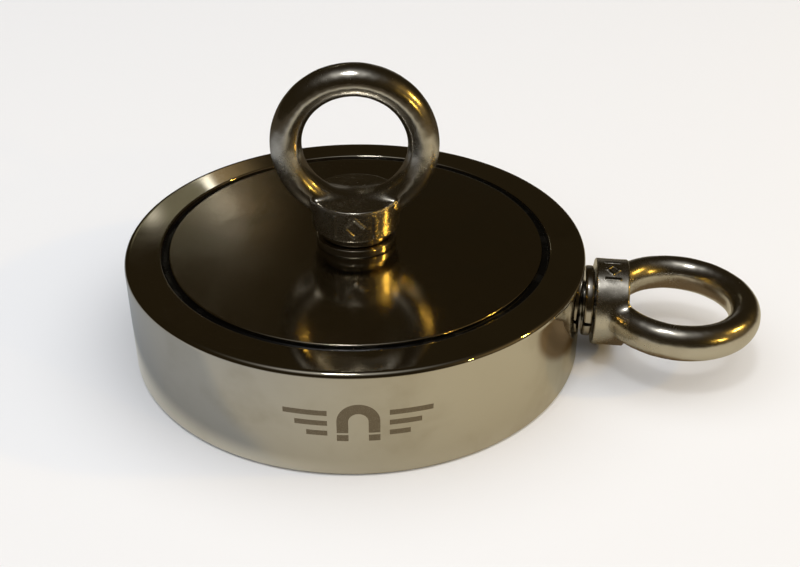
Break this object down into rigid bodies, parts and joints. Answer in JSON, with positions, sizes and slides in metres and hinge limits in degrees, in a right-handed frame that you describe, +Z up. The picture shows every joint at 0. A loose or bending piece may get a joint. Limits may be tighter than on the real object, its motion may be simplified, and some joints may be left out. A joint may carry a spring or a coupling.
{
  "type": "fishing magnet",
  "caption": "Double-sided round pot magnet for magnet fishing, with a screwed eyebolt and its washers on its upper face and on its side wall.",
  "frame": {"origin": "centre of the pot's lower pull face, on the axis of its through hole", "axes": "+Z up through the top eyebolt, +X out along the side eyebolt"},
  "size_m": [0.1887, 0.136, 0.088],
  "materials": {
    "pot_nickel": "polished",
    "magnet_nickel": "satin",
    "bolt_steel": "polished",
    "spring_steel": "satin",
    "resin_black": "gloss",
    "glue": "matte"
  },
  "bodies": {
    "pot": {"pot_body": "pot_nickel", "upper_magnet": "magnet_nickel", "lower_magnet": "magnet_nickel", "upper_bond_film": "glue", "lower_bond_film": "glue", "upper_resin_ring": "resin_black", "lower_resin_ring": "resin_black"},
    "top_washer": {"top_spring_washer": "spring_steel", "top_plain_washer": "spring_steel"},
    "top_eye_body": {"top_eyebolt": "bolt_steel"},
    "side_washer": {"side_spring_washer": "spring_steel"},
    "side_eye_body": {"side_eyebolt": "bolt_steel"}
  },
  "joints": [
    {"name": "top_turn", "type": "hinge", "parent": "pot", "child": "top_washer", "pos_m": [0, 0, 0.033], "axis": [0, 0, 1], "range_deg": [-15, 3312]},
    {"name": "top_climb", "type": "slide", "parent": "top_washer", "child": "top_eye_body", "axis": [0, 0, 1], "range_m": [-0.00008, 0.01611]},
    {"name": "side_climb", "type": "slide", "parent": "pot", "child": "side_washer", "axis": [1, 0, 0], "range_m": [-0.00042, 0.01846]},
    {"name": "side_turn", "type": "hinge", "parent": "side_washer", "child": "side_eye_body", "pos_m": [0.0714, 0, 0.0165], "axis": [1, 0, 0], "range_deg": [-84, 3795]}
  ],
  "couplings": [
    {"joint": "top_climb", "follows": "top_turn", "m_per_rad": 0.00027852},
    {"joint": "side_climb", "follows": "side_turn", "m_per_rad": 0.00027852}
  ]
}
